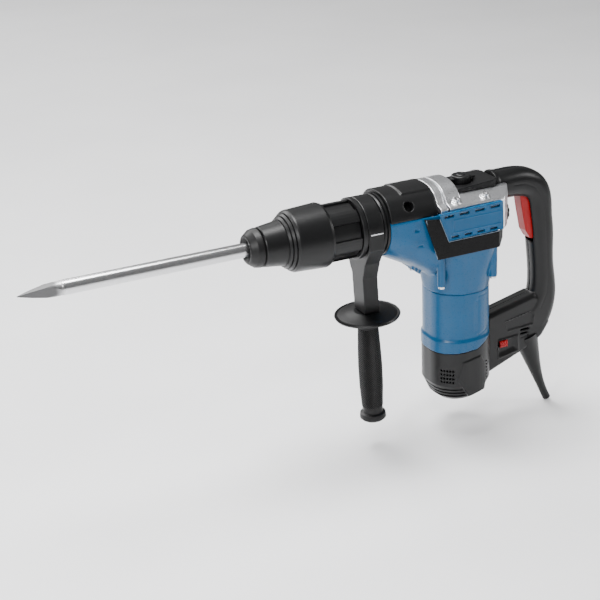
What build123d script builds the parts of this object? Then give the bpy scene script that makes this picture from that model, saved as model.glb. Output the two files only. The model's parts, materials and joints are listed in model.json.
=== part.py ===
from build123d import *
import os
from math import cos, pi, radians, sin

# Electric demolition hammer with a chisel, millimetres.
# The tool axis is the X axis, the chisel points to -X and the origin is on that axis
# at the front lip of the dust cap. +Z is up, the left side of the tool is -Y.

# ---- driving dimensions ----------------------------------------------------
RUN = 0.06            # radial clearance of a running fit

BAR_R = 9.0           # chisel shank radius
TIP_X = -279.0        # chisel point
POINT_LEN = 52.0      # length of the four-sided point
SHANK_END = 98.0      # rear end of the chisel inside the holder

HOLDER_R = 17.0       # outside of the tool-holder tube
HOLDER_X = (7.0, 160.0)
GUIDE_R = 13.0        # bore that guides the impact bolt
SLEEVE_X = (18.0, 101.0)
RING_X = (101.6, 139.0)
RING_R = 36.0
RING_SECTORS = 12

CYL_R = 16.0          # hammer cylinder bore
CYL_X = (162.0, 234.0)
NECK_R = 33.0
COVER_R = 42.0        # black saddle over the gear neck
COVER_X = (176.0, 241.0)
COVER_LOW = 10.0      # lower edge of the saddle
BOSS_R = 6.5          # side hole in the saddle
BOSS_FLOOR = 29.0     # bottom of that hole, from the middle of the neck

CRANK_X = 260.0       # crank shaft, vertical
KNOB_X = 298.0
KNOB_R = 12.6
WING_R = 19.0         # reach of the knob's wings
DIAL_Z = -17.0
MOTOR_X = 290.0       # armature shaft, vertical
CRANK_THROW = 12.0
WRIST_X = 207.0       # wrist pin with the piston fully forward
MODULE = 1.2
PINION_TEETH = 10
GEAR_TEETH = 40

BOX_HALF = 50.0       # half width of the gearbox
BOX_END = 352.0
ROOF_Z = 26.5         # flat roof of the gearbox
MOTOR_R = 41.0
MOTOR_TOP = -44.0
FLARE_LOW = -103.0    # seam between upper housing and motor housing
MOTOR_SEAM = -188.0   # lowest edge of the motor housing
# seam to the end cap, x and z
SEAM_LINE = [(200, -187), (262, -184.5), (297, -182), (338, -161), (400, -161)]
MOTOR_LOW = -256.5    # foot of the motor end cap
WALL = 3.0

CLAMP_X = (146.4, 167.6)
LEG_X = 157.0         # side handle, centre where it meets the clamp
LEG_LEAN = 1.9        # degrees, the handle's foot stands further back
GUARD_Z = -112.0
GRIP_LOW = -266.0      # foot of the side handle

HANDLE_WALL = 3.2
BOOT_PATH = [(397, -198), (409.5, -236), (422, -272), (435.5, -303)]
BOOT_R = [17.6, 11.2, 6.4, 5.4]
BOOT_LEAN = [17, 18, 20, 24]   # lean of the boot from the vertical, degrees
CABLE_R = 3.6

os.makedirs("parts", exist_ok=True)


# ---- shape helpers ---------------------------------------------------------
def save(name, shape):
    """Write one sub-part, as one solid or a compound of separate solids."""
    solids = list(shape.solids())
    body = solids[0] if len(solids) == 1 else Compound(children=solids)
    export_step(body, f"parts/{name}.step")


def face_of(points):
    return make_face(Polyline(*points, close=True))


def prism_y(points, y0, y1):
    """Extrude an (x, z) outline from y0 to y1."""
    return extrude(face_of([(x, y0, z) for x, z in points]), amount=y1 - y0, dir=(0, 1, 0))


def prism_x(points, x0, x1):
    """Extrude a (y, z) outline from x0 to x1."""
    return extrude(face_of([(x0, y, z) for y, z in points]), amount=x1 - x0, dir=(1, 0, 0))


def prism_z(points, z0, z1):
    """Extrude an (x, y) outline from z0 to z1."""
    return extrude(face_of([(x, y, z0) for x, y in points]), amount=z1 - z0, dir=(0, 0, 1))


def box(x0, x1, y0, y1, z0, z1):
    return Pos((x0 + x1) / 2, (y0 + y1) / 2, (z0 + z1) / 2) * Box(x1 - x0, y1 - y0, z1 - z0)


def turn_x(points):
    """Turn an (x, r) outline about the tool axis."""
    return revolve(face_of([(x, 0, r) for x, r in points]), Axis.X)


def turn_z(points, x=0.0, y=0.0):
    """Turn an (r, z) outline about a vertical axis through (x, y)."""
    return Pos(x, y, 0) * revolve(face_of([(r, 0, z) for r, z in points]), Axis.Z)


def rod_x(r, x0, x1, y=0.0, z=0.0):
    return Pos((x0 + x1) / 2, y, z) * Rot(0, 90, 0) * Cylinder(r, x1 - x0)


def rod_y(r, y0, y1, x=0.0, z=0.0):
    return Pos(x, (y0 + y1) / 2, z) * Rot(90, 0, 0) * Cylinder(r, y1 - y0)


def rod_z(r, z0, z1, x=0.0, y=0.0):
    return Pos(x, y, (z0 + z1) / 2) * Cylinder(r, z1 - z0)


def ring_x(r_out, r_in, x0, x1):
    return rod_x(r_out, x0, x1) - rod_x(r_in, x0 - 1, x1 + 1)


def ring_z(r_out, r_in, z0, z1, x=0.0, y=0.0):
    return rod_z(r_out, z0, z1, x, y) - rod_z(r_in, z0 - 1, z1 + 1, x, y)


def mirror_y(shape):
    return mirror(shape, about=Plane.XZ)


def screw_z(x, y, z_head, length, r=2.0, head_r=3.6, head_h=3.0, up=True):
    """A cap screw along Z whose head's outer face is at z_head."""
    s = 1 if up else -1
    head = rod_z(head_r, min(z_head, z_head - s * head_h), max(z_head, z_head - s * head_h), x, y)
    tip = z_head - s * (head_h + length)
    shank = rod_z(r, min(z_head - s, tip), max(z_head - s, tip), x, y)
    socket = rod_z(head_r * 0.5, min(z_head - s * 1.6, z_head + s), max(z_head - s * 1.6, z_head + s), x, y)
    return head + shank - socket


# ---- the chisel and its holder ---------------------------------------------
def chisel():
    """Round bar with a four-sided point in front and a grooved shank behind."""
    shoulder = TIP_X + POINT_LEN
    slim, nose_half = 15.0, 3.4
    point = loft([
        Plane((TIP_X, 0, 0), x_dir=(0, 1, 0), z_dir=(1, 0, 0)) * Rectangle(0.8, 0.8),
        Plane((TIP_X + slim, 0, 0), x_dir=(0, 1, 0), z_dir=(1, 0, 0)) * Rectangle(2 * nose_half,
                                                                                  2 * nose_half),
    ])
    body = loft([
        Plane((TIP_X + slim, 0, 0), x_dir=(0, 1, 0), z_dir=(1, 0, 0)) * Rectangle(2 * nose_half,
                                                                                  2 * nose_half),
        Plane((shoulder, 0, 0), x_dir=(0, 1, 0), z_dir=(1, 0, 0)) * Rectangle(2 * BAR_R, 2 * BAR_R),
    ])
    waist = turn_x([(TIP_X, 0), (TIP_X, BAR_R - 0.4), (shoulder - 1.2, BAR_R - 0.4), (shoulder, BAR_R),
                    (shoulder, 0)])
    bar = ((point + body) & waist) + rod_x(BAR_R, shoulder, SHANK_END)
    bar -= ring_x(BAR_R + 1, BAR_R - 0.5, 4.0, 8.0)
    for side in (-1, 1):
        bar -= box(49, 84, side * 7.6 - 3.2, side * 7.6 + 3.2, -4.2, 4.2)
        bar -= box(40, SHANK_END + 1, -2.5, 2.5, side * 8.2 - 1.6, side * 8.2 + 1.6)
    return bar


def dust_cap():
    """Rubber nose that keeps grit out of the holder."""
    outline = [(0, 14.8), (0, 17.0), (0.8, 18.0), (8, 23.2), (14.4, 24.4), (15.0, 23.0), (16.2, 23.0),
               (16.8, 24.2), (17, 17.0), (7, 17.0), (7, 11.2), (4.5, 11.2)]
    return turn_x(outline)


def holder_tube():
    """Hardened tube: chisel bore in front, impact-bolt guide behind."""
    tube = turn_x([(HOLDER_X[0], BAR_R + RUN), (HOLDER_X[0], HOLDER_R), (HOLDER_X[1], HOLDER_R),
                   (HOLDER_X[1], GUIDE_R), (SHANK_END + 2, GUIDE_R), (SHANK_END + 2, BAR_R + RUN)])
    for side in (-1, 1):
        tube -= box(51, 73, min(side * 6, side * 15.2), max(side * 6, side * 15.2), -3.9, 3.9)
    return tube


def lock_rollers():
    """Two rollers that hold the shank by its grooves."""
    return Compound(children=[rod_x(3.4, 52, 72, side * 11.0, 0) for side in (-1, 1)])


def locking_sleeve():
    """Sleeve that is pulled back to free the chisel."""
    x0, x1 = SLEEVE_X
    outline = [(x0, 17.6), (x0, 23.8), (x0 + 1, 24.6), (45, 28.0), (45.2, 30.0), (47.8, 31.6), (48.2, 30.6),
               (49.0, 30.6), (49.2, 33.0), (51.8, 34.6), (52.2, 33.6), (53.0, 33.6), (53.2, 36.0),
               (56, 37.8),
               (58, 38.2), (97.6, 40.3), (x1, 39.0), (x1, 37.4), (66, 34.0), (62, HOLDER_R + 1),
               (60, HOLDER_R + RUN),
               (46, HOLDER_R + RUN), (42, 17.6)]
    return turn_x(outline)


def spring(r, wire, x0, x1, turns):
    """Helical compression spring along the tool axis."""
    path = Helix(pitch=(x1 - x0) / turns, height=x1 - x0, radius=r, center=(x0, 0, 0), direction=(1, 0, 0))
    section = Plane(origin=path @ 0, z_dir=path % 0) * Circle(wire)
    return sweep(section, path=path)


def sleeve_spring():
    """Spring that returns the sleeve, between its web and the adjusting ring."""
    return spring(24.0, 1.2, 70.0, 115.0, 6)


def adjusting_ring():
    """Ribbed ring with alternating raised and sunk sectors, keyed to the tube."""
    x0, x1 = RING_X
    sunk = RING_R - 2.5
    body = turn_x([(x0, 30.5), (x0, sunk - 1), (x0 + 1, sunk), (x1 - 1, sunk), (x1, sunk - 1),
                   (x1, HOLDER_R),
                   (118, HOLDER_R), (118, 30.5)])
    step = 360 / RING_SECTORS
    arc = [radians(step * (i / 4 - 0.5)) * 0.86 for i in range(5)]
    for k in range(RING_SECTORS // 2):
        turn = radians(2 * step * k + step / 2)
        outer = [(RING_R * cos(a + turn), RING_R * sin(a + turn)) for a in arc]
        inner = [((sunk - 0.6) * cos(a + turn), (sunk - 0.6) * sin(a + turn)) for a in reversed(arc)]
        body += prism_x(outer + inner, x0 + 0.4, x1 - 0.4)
    return body


# ---- the hammer mechanism --------------------------------------------------
def impact_bolt():
    """Steel bolt between the ram and the chisel."""
    return turn_x([(99, 0), (99, 8.4), (103, 8.9), (107, 8.9), (111, GUIDE_R - RUN), (136, GUIDE_R - RUN),
                   (139, 9.5), (150, 9.0), (150, 0)])


def ram():
    """Free piston with its sealing ring groove."""
    r = CYL_R - RUN
    return turn_x([(163.5, 0), (163.5, r - 2), (165, r), (170, r), (170, r - 1.4), (173, r - 1.4), (173, r),
                   (184, r), (184, 0)])


def ram_ring():
    """Rubber ring in the ram's groove."""
    return ring_x(CYL_R - RUN - 0.05, CYL_R - RUN - 1.4, 170.3, 172.7)


def cylinder_tube():
    """Hammer cylinder with a front flange and an air vent."""
    tube = ring_x(CYL_R + 3.5, CYL_R, *CYL_X) + ring_x(NECK_R - 6.2, CYL_R, 164, 169)
    for k in range(4):
        tube -= Rot(45 + 90 * k, 0, 0) * rod_z(2.0, CYL_R - 2, CYL_R + 6, 192, 0)
    return tube


def piston():
    """Cup piston driven by the connecting rod."""
    r = CYL_R - RUN
    cup = rod_x(r, 196, 216) - rod_x(r - 3.5, 200, 217)
    ears = box(200, 213, -7, 7, -r + 3, -5) + box(200, 213, -7, 7, 5, r - 3)
    return (cup + ears) - rod_z(3.0, -r - 1, r + 1, WRIST_X)


def wrist_pin():
    return rod_z(3.0, -14.5, 14.5, WRIST_X)


def connecting_rod():
    """Rod from the wrist pin to above the crank pin."""
    pin_x = CRANK_X - CRANK_THROW
    body = rod_z(5.4, -4.4, 4.4, WRIST_X) + box(WRIST_X, pin_x, -3.2, 3.2, -3.4, 3.4) + rod_z(9.0, -4,
                                                                                              4, pin_x)
    return body - rod_z(3.0 + RUN, -9, 9, WRIST_X) - rod_z(5.0, -9, 9, pin_x)


def spur(teeth, z0, z1, x, turn):
    """Straight spur gear with slim flanks, pitch radius MODULE * teeth / 2."""
    pitch = MODULE * teeth / 2
    root, tip = pitch - 1.3 * MODULE, pitch + 0.9 * MODULE
    half = pi / teeth / 2
    points = []
    for k in range(teeth):
        mid = 2 * pi * k / teeth + turn
        for r, a in ((root, -1.45), (pitch, -0.86), (tip, -0.42), (tip, 0.42), (pitch, 0.86), (root, 1.45)):
            points.append((x + r * cos(mid + a * half), r * sin(mid + a * half)))
    return prism_z(points, z0, z1)


def crank_gear():
    """Gear, shaft, disc and crank pin on the vertical crank axis."""
    gear = spur(GEAR_TEETH, -28, -21, CRANK_X, pi / GEAR_TEETH)
    shaft = rod_z(6.0, -46, -27, CRANK_X)
    disc = rod_z(18.5, -21.5, -16.6, CRANK_X)
    pin = rod_z(4.6, -17, -4.5, CRANK_X - CRANK_THROW)
    return gear + shaft + disc + pin


def crank_bearings():
    """Two ball-bearing rings round the crank shaft."""
    top = ring_z(13.0, 6.0 + RUN, -36.5, -30.5, CRANK_X)
    low = ring_z(11.0, 6.0 + RUN, -43, -38.5, CRANK_X)
    return Compound(children=[top, low])


def bearing_plate():
    """Aluminium plate that carries the crank and armature bearings."""
    plate = prism_z([(241, -36), (250, -43), (325, -43), (333, -36), (333, 36), (325, 43), (250, 43),
                     (241, 36)],
                    -43, -29.5)
    plate -= rod_z(13.0, -36.5, -20, CRANK_X) + rod_z(8, -40, -29, CRANK_X) + rod_z(11.0, -50, -38.5,
                                                                                    CRANK_X)
    return plate - rod_z(11.0, -50, -25, MOTOR_X)


# ---- the motor -------------------------------------------------------------
def armature_shaft():
    """Motor shaft with the pinion cut in its upper end."""
    pinion = spur(PINION_TEETH, -29, -20.4, MOTOR_X, 0)
    shaft = rod_z(4.5, -52, -28.5, MOTOR_X) + rod_z(5.0, -206, -51, MOTOR_X)
    return pinion + shaft + rod_z(4.0, -241, -205.5, MOTOR_X)


def armature_core():
    """Slotted iron core with its windings' ends."""
    core = ring_z(21.4, 5.0, -168, -112, MOTOR_X)
    for k in range(12):
        core -= Pos(MOTOR_X, 0, 0) * Rot(0, 0, 30 * k) * box(18.5, 23, -0.9, 0.9, -170, -110)
    ends = ring_z(17.5, 5.0, -112, -102, MOTOR_X) + ring_z(17.5, 5.0, -178, -168, MOTOR_X)
    return core + ends


def commutator():
    return ring_z(12.0, 5.0, -203, -184, MOTOR_X)


def cooling_fan():
    """Radial fan between the core and the upper bearing."""
    fan = ring_z(33.0, 5.0, -82, -80, MOTOR_X) + ring_z(9.0, 5.0, -81, -66, MOTOR_X)
    for k in range(14):
        blade = box(11, 32, -0.8, 0.8, -80.5, -68)
        fan += Pos(MOTOR_X, 0, 0) * Rot(0, 0, 360 / 14 * k) * blade
    return fan


def motor_bearing(z0, z1, r_in, r_out):
    return ring_z(r_out, r_in + RUN, z0, z1, MOTOR_X)


def stator_core():
    """Laminated field core with two poles."""
    core = ring_z(36.5, 31.0, -166, -114, MOTOR_X)
    for side in (-1, 1):
        pole = rod_z(31.5, -166, -114, MOTOR_X) & box(MOTOR_X - 16, MOTOR_X + 16, min(0, side * 32),
                                                      max(0, side * 32),
                                                       -166, -114)
        core += pole - rod_z(22.0, -170, -110, MOTOR_X)
    return core


def field_coils():
    """Copper end turns above and below the field core."""
    top = ring_z(34.5, 24.5, -113.6, -104, MOTOR_X)
    low = ring_z(34.5, 24.5, -176, -166.4, MOTOR_X)
    return Compound(children=[top, low])


def brush_holders():
    """Two brass boxes that guide the carbon brushes."""
    parts = []
    for side in (-1, 1):
        shell = box(MOTOR_X - 5, MOTOR_X + 5, min(side * 15, side * 36), max(side * 15, side * 36),
                    -199, -188)
        bore = box(MOTOR_X - 3.4, MOTOR_X + 3.4, min(side * 14, side * 34), max(side * 14, side * 34),
                   -197.4, -189.6)
        parts.append(shell - bore)
    return Compound(children=parts)


def carbon_brushes():
    parts = [box(MOTOR_X - 3.2, MOTOR_X + 3.2, min(side * 12.4, side * 28), max(side * 12.4, side * 28),
                 -197.2, -189.8)
             for side in (-1, 1)]
    return Compound(children=parts)


# ---- housings --------------------------------------------------------------
def barrel_neck():
    """Cast neck: flange behind the ring, seat of the side handle, cylinder bore."""
    outline = [(139.8, HOLDER_R + RUN), (139.8, 37.6), (140.6, 38.5), (145.2, 38.5), (146, 37.7),
               (146, NECK_R),
               (168, NECK_R), (168.4, 38.0), (170.4, 38.6), (171, 37.4), (172, 37.4), (172.6, 39.4),
               (175.4, 39.4),
               (175.8, NECK_R + 2.5), (176, NECK_R + 2.5), (234, NECK_R + 2.5), (234, 19.6), (169.2, 19.6),
               (169.2, NECK_R - 6), (161, NECK_R - 6), (161, HOLDER_R + 6), (159, HOLDER_R + 6),
               (159, HOLDER_R + RUN)]
    neck = turn_x(outline)
    for side in (-1, 1):
        neck -= boss_axis(side) * rod_z(BOSS_R, BOSS_FLOOR, COVER_R)
    return neck


def boss_axis(side):
    """Frame whose Z axis runs out through the side hole of the saddle."""
    return Pos(203.5, 0, 4) * Rot(-side * 56, 0, 0)


def saddle(x0, x1, grow=0.0, z_low=COVER_LOW):
    """Barrel between x0 and x1 whose section is a little squarer than a circle."""
    power = 2 / 2.45
    half, top = COVER_R - 1.0 + grow, COVER_R + 0.4 + grow
    arc = [(x0, half * (1 if cos(a) > 0 else -1) * abs(cos(a)) ** power, top * sin(a) ** power)
           for a in (pi * (0.5 + i) / 18 for i in range(18))]
    ends = [(x0, half, 0), *arc, (x0, -half, 0)]
    outline = [Spline(*ends, tangents=[(0, 0, 1), (0, 0, -1)]), Line((x0, -half, 0), (x0, half, 0))]
    return extrude(make_face(outline), amount=x1 - x0, dir=(1, 0, 0)) & box(x0, x1, -60, 60, z_low, 60)


def gear_cover():
    """Black saddle over the gear neck, with a boss hole on each side."""
    x0, x1 = COVER_X
    cover = saddle(x0, x1) + (saddle(x0 + 24, x1, 1.4) & box(x0, x1, -22, 22, 0, 60))
    cover -= rod_x(NECK_R + 3, x0 - 1, x1 + 1)
    cover -= saddle(214.6, 215.4, 3) - saddle(214, 216, -0.7)
    for side in (-1, 1):
        cover -= boss_axis(side) * rod_z(BOSS_R, BOSS_FLOOR, COVER_R + 9)
    return cover


def gearbox_outline(inset, z_low):
    """Gearbox outline in the YZ plane: sloping shoulders and straight sides."""
    w = BOX_HALF - inset
    roof = ROOF_Z - inset
    return [(-w, z_low), (-w, 16 - inset * 0.6), (-w + 4, 19.5 - inset), (-26, roof), (26, roof),
            (w - 4, 19.5 - inset), (w, 16 - inset * 0.6), (w, z_low)]


def gearbox_plan(inset):
    """Gearbox outline from above: square in front, narrowed and rounded at the rear."""
    w = BOX_HALF - inset
    return [(241, -w), (330 - inset, -w), (343 - inset, -38 + inset / 2), (BOX_END - inset, -22),
            (BOX_END - inset, 22),
            (343 - inset, 38 - inset / 2), (330 - inset, w), (241, w)]


def shoulder_bosses():
    """Places of the screw bosses on the sloping shoulders."""
    return [Pos(x, side * 38, 19.5) * Rot(-side * 18, 0, 0) for side in (-1, 1) for x in (268, 309)]


def gearbox_housing():
    """Cast aluminium housing over the crank, with a round front and flat sides."""
    low = -22.0
    front = saddle(241.2, 275, 0.8, 5)
    body = prism_x(gearbox_outline(0, low), 241.2, BOX_END) & prism_z(gearbox_plan(0), low, 40)
    slope = prism_y([(241, low - 1), (253, low - 1), (240.9, 14)], -60, 60)
    room = prism_x(gearbox_outline(5, low - 1), 240, BOX_END - 5) & prism_z(gearbox_plan(5), low - 1, 40)
    room -= box(236, 275, -60, 60, 22, 50)
    bore = rod_x(NECK_R + 3, 230, 270) & box(230, 270, -40, 40, -30, 40)
    shell = front + body - room - bore - slope - mirror_y(slope)
    for place in shoulder_bosses():
        shell += place * Cylinder(6.0, 9)
        shell -= place * (Pos(0, 0, -4) * Cylinder(2.2, 30) + Pos(0, 0, 7) * Cylinder(4.3, 5))
    for side in (-1, 1):
        shell -= box(236, 346, side * 51.5 - 4.0, side * 51.5 + 4.0, low - 1, 17.2)
    return shell - rod_x(4.0 + RUN, 340, 360, 0, DIAL_Z)


def top_platform():
    """Black plate on the gearbox with a round seat for the knob."""
    plate = prism_y([(275.4, ROOF_Z), (339.6, ROOF_Z), (339.6, 35), (336, 36), (280, 32.4),
                     (275.4, 31.6)], -24.5, 24.5)
    plate &= prism_z([(275.4, -21), (279, -24.5), (333, -24.5), (339.6, -18), (339.6, 18), (333, 24.5),
                      (279, 24.5),
                      (275.4, 21)], 20, 50)
    return plate - rod_z(15.5, 28.6, 50, KNOB_X) - rod_z(4.0 + RUN, 20, 50, KNOB_X)


def mode_knob():
    """Round knob with two wings, on a short spindle."""
    knob = turn_z([(0, 29), (KNOB_R, 29), (KNOB_R, 40.6), (KNOB_R - 1.2, 41.8), (5.4, 41.8),
                   (5.0, 42.6), (0, 42.6)],
                  KNOB_X)
    wings = box(KNOB_X - WING_R, KNOB_X + WING_R, -4, 4, 36.2, 38.6) & rod_z(WING_R, 36, 39, KNOB_X)
    return knob + wings + rod_z(4.0, 27, 29.5, KNOB_X)


def belly(inset, x0, x1):
    """Rounded underside below the saddle, deeper towards the motor."""
    stations = [(x0, COVER_R - 1.6, 0.0), (215, COVER_R - 1.0, -20.0), (x1, COVER_R + 1.0, -38.0)]
    faces = []
    for x, r, drop in stations:
        r -= inset
        place = Plane((x, 0, 0), x_dir=(0, 1, 0), z_dir=(1, 0, 0))
        outline = [Line((-r, COVER_LOW), (-r, drop)), ThreePointArc((-r, drop), (0, drop - r), (r, drop)),
                   Line((r, drop), (r, COVER_LOW)), Line((r, COVER_LOW), (-r, COVER_LOW))]
        faces.append(place * make_face(outline))
    return loft(faces, ruled=True)


def flare(inset):
    """Upper motor bell, wide under the gearbox and narrowed to the motor."""
    levels = [(-22.2, 50.0, 241.0, 334.0), (MOTOR_TOP, 50.0, 243.0, 334.0), (-86.0, 44.5, 247.0, 332.0),
              (FLARE_LOW, 42.5, 248.0, 332.0)]
    faces = []
    for z, half, x0, x1 in levels:
        wide, long = 2 * (half - inset), x1 - x0 - 2 * inset
        place = Pos((x0 + x1) / 2, 0, z)
        faces.append(place * RectangleRounded(long, wide,
                                              24 + (41.9 - 24) * (-22.2 - z) / 90 - inset * 0.6))
    return loft(faces, ruled=True)


BELL_SCREWS = [(x, side * y) for x, y in ((247, 37.5), (321, 40.5)) for side in (-1, 1)]


def transmission_housing():
    """Blue housing: belly under the saddle and bell over the motor's fan."""
    outer = belly(0, COVER_X[0], 246) + flare(0)
    inner = belly(WALL, COVER_X[0] + WALL, 250) + flare(WALL)
    inner = inner - box(170, 236, -60, 60, -100, -37)
    shell = outer - inner - rod_x(NECK_R + 3, 170, 275)
    for i in range(3):
        shell += box(219 + 5 * i, 221.6 + 5 * i, -13, 13, -66 - 4.4 * i, -60 - 3.4 * i)
    for x, y in BELL_SCREWS:
        shell += rod_z(5.2, -86, -46, x, y)
        shell -= rod_z(2.4, -90, -66, x, y)
    return shell - gearbox_space()


def gearbox_space():
    """Room for the bearing plate and the silver housing above it."""
    return prism_z([(240.5, -36), (250, -43.4), (325, -43.4), (333.4, -36), (333.4, 36), (325, 43.4),
                    (250, 43.4),
                    (240.5, 36)], -43.2, -20)


def motor_section(r):
    """Motor outline from above: a circle squared a little at the sides."""
    return RectangleRounded(2 * r, 2 * r, r * 0.86)


def motor_housing():
    """Blue motor barrel with a wider foot."""
    place = lambda z: Pos(MOTOR_X, 0, z)
    barrel = extrude(place(-170) * motor_section(MOTOR_R), FLARE_LOW - 0.4 + 170)
    foot = loft([place(-166) * motor_section(MOTOR_R + 0.2), place(-169) * motor_section(MOTOR_R + 2),
                 place(MOTOR_SEAM) * motor_section(MOTOR_R + 2)], ruled=True)
    shell = barrel + foot - rod_z(MOTOR_R - WALL, -200, -90, MOTOR_X)
    shell += ring_z(MOTOR_R - WALL + 0.4, 36.5, -170, -110, MOTOR_X)
    cut = prism_y([(x, z + 0.15) for x, z in SEAM_LINE] + [(400, -260), (200, -260)], -60, 60)
    for side in (-1, 1):
        shell -= rod_z(60, -160, -114, MOTOR_X + 12, side * 100.2)
    return shell - cut


def motor_end_cap():
    """Black end cap with vents, ribs and a chamfered foot."""
    place = lambda z: Pos(MOTOR_X, 0, z)
    rise = extrude(place(-231.5) * motor_section(MOTOR_R + 1.2), 90)
    foot = loft([place(MOTOR_LOW) * motor_section(26), place(-250) * motor_section(34),
                 place(-231) * motor_section(MOTOR_R + 1.2)], ruled=True)
    solid = rise + foot
    room = rod_z(MOTOR_R - WALL, -244, -150, MOTOR_X) - ring_z(60, MOTOR_R - 7, -260, -232, MOTOR_X)
    above = prism_y([(x, z - 0.15) for x, z in SEAM_LINE] + [(400, -60), (200, -60)], -60, 60)
    shell = solid - room - above
    shell += ring_z(14, 9.5, -244.5, -232, MOTOR_X)
    for i in range(3):
        shell -= ring_z(60, 38.6 - 2.6 * i, -238 - 5.5 * i, -236 - 5.5 * i, MOTOR_X)
    for side in (-1, 1):
        for i in range(5):
            for j in range(4):
                turn = Rot(0, 0, side * (124.6 + 5.2 * i))
                slot = box(MOTOR_R - 6, MOTOR_R + 6, -1.3, 1.3, -226.6 + 5.3 * j, -223.7 + 5.3 * j)
                shell -= Pos(MOTOR_X, 0, 0) * turn * slot
        for j in range(4):
            turn = Rot(0, 0, side * 34)
            slot = box(MOTOR_R - 6, MOTOR_R + 6, -2.0, 2.0, -226 + 8 * j, -221 + 8 * j)
            shell -= Pos(MOTOR_X, 0, 0) * turn * slot
    return shell


def side_cover(side):
    """Blue side plate with rows of vents and a raised frame."""
    outline = [(236.0, 14.4), (327.4, 16.8), (329.0, -20.6), (248.8, -22.0)]
    plate = prism_y(outline, 47.9, 52.0)
    for i in range(4):
        upper, lower = 243 + 22 * i, 253.5 + 18.6 * i
        plate -= box(upper, upper + 14, 47, 53, 8.4 + 0.4 * i, 11.4 + 0.4 * i)
        plate -= box(lower, lower + 11, 47, 53, -19.2 + 0.2 * i, -16.4 + 0.2 * i)
    plate -= box(256, 326, 51.2, 53, -12.5, 4.5) - box(257.4, 324.6, 51, 54, -11.2, 3.2)
    return plate if side > 0 else mirror_y(plate)


def trim_band(side):
    """Black band from the saddle down and along the lower edge of the side plate."""
    outline = [(219, 9.4), (236.0, 9.4), (249.0, -23.0), (331.0, -22.4), (330.0, -34), (324.0, -43.6),
               (234.0, -43.6)]
    band = prism_y(outline, 40, 52.4)
    plan = [(219, 43.4), (219, 45.2), (232, 52.4), (322, 52.4), (331, 47), (331, 44.6), (321, 50.3),
            (234, 50.3)]
    body = band & prism_z(plan, -43.6, 9.4)
    return body if side > 0 else mirror_y(body)


# ---- rear handle -----------------------------------------------------------
# centre line of the handle: x, z, heading in degrees, depth across the heading, width in Y
HANDLE_SECTIONS = [(341, 19.5, 0, 37, 37), (366, 19.5, -1, 38, 37), (389, 16.5, -17, 38, 35),
                   (405, 6, -48, 38, 34), (412, -12, -76, 38, 33), (415.6, -42, -85, 36, 32.5),
                   (418.6, -80, -86, 34, 32), (421.4, -116, -86, 34, 32), (422, -139, -92, 38, 32),
                   (415, -164, -116, 45, 31), (401, -181, -124, 52, 29)]
ARM_HALF = 14.5
ARM_ROUND = 6.0
ARM_OUTLINE = [(326, -155.5), (403, -138), (424, -150), (429, -184), (417, -202),
               (396, -214), (372, -223), (326, -240)]
ARM_ROOM = [(330, -163), (352, -157), (384, -147), (402, -152), (422, -182), (412, -198), (394, -209),
            (372, -218.6),
            (330, -235)]


def handle_loft(inset):
    faces = []
    for x, z, heading, depth, width in HANDLE_SECTIONS:
        a = radians(heading)
        place = Plane((x, 0, z), x_dir=(0, 1, 0), z_dir=(cos(a), 0, sin(a)))
        wide, deep = width - 2 * inset, depth - 2 * inset
        faces.append(place * RectangleRounded(wide, deep, min(wide, deep) * 0.42))
    return loft(faces)


def handle_solid(inset):
    """Grip joined to the arm that runs forward to the motor."""
    if inset:
        return handle_loft(inset) + prism_y(ARM_ROOM, -ARM_HALF + inset, ARM_HALF - inset)
    arm = prism_y(ARM_OUTLINE, -ARM_HALF, ARM_HALF)
    long_edges = [edge for edge in arm.edges() if abs(abs(edge.center().Y) - ARM_HALF) < 0.01]
    return handle_loft(0) + fillet(long_edges, ARM_ROUND)


TRIGGER_ROOM = [(374, 20.5), (399, 20.5), (408, 8), (414.5, -28), (414.5, -66), (384, -66), (366, -20)]
TRIGGER_PIVOT = (394.0, 11.0)
SLIDER = (355.5, -199.0)
HANDLE_SCREWS = [(358, 20), (422, -130), (350, -170), (344, -217)]


def handle_shell(side):
    """One half of the rear handle, hollow, with cut-outs for trigger and boot."""
    collar = rod_x(20.5, 339.9, 345, 0, 19.5)
    solid = handle_solid(0) + collar
    space = handle_solid(HANDLE_WALL) & box(346, 500, -60, 60, -300, 100)
    space += handle_solid(HANDLE_WALL) & box(334, 346, -60, 60, -300, -100)
    gearbox = prism_x(gearbox_outline(-0.2, -30), 300, BOX_END + 0.2) & prism_z(gearbox_plan(-0.2), -30, 40)
    motor = extrude(Pos(MOTOR_X, 0, -300) * motor_section(MOTOR_R + 2.2), 200)
    shell = solid - space - motor - gearbox - box(300, 339.9, -60, 60, -60, 60)
    shell -= prism_y(TRIGGER_ROOM, -9.2, 9.2)
    shell -= rod_y(2.5, -12.8, 12.8, *TRIGGER_PIVOT)
    shell -= cable_boot(0.15)
    if side < 0:
        x, z = SLIDER
        shell -= box(x - 11, x + 9, -20, -13.4, z - 7, z + 7) + box(x - 9, x + 7, -20, -9, z - 3, z + 3)
    for x, z in HANDLE_SCREWS:
        shell -= rod_y(1.6, 0, 12, x, z) + rod_y(3.0, 10.4, 30, x, z)
    half = box(300, 500, -60, 0, -300, 100) if side < 0 else box(300, 500, 0, 60, -300, 100)
    return shell & half


def trigger():
    """Red trigger, hinged at its top."""
    outline = [(379.5, 14), (382, 17.5), (396, 17.5), (402, 10), (407.5, -24), (406, -56), (401.5, -61.5),
               (398, -60.5), (391, -49), (384.5, -17)]
    return prism_y(outline, -8.4, 8.4) - rod_y(2.5 + RUN, -20, 20, *TRIGGER_PIVOT)


def trigger_pin():
    return rod_y(2.5, -12.8, 12.8, *TRIGGER_PIVOT)


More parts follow.
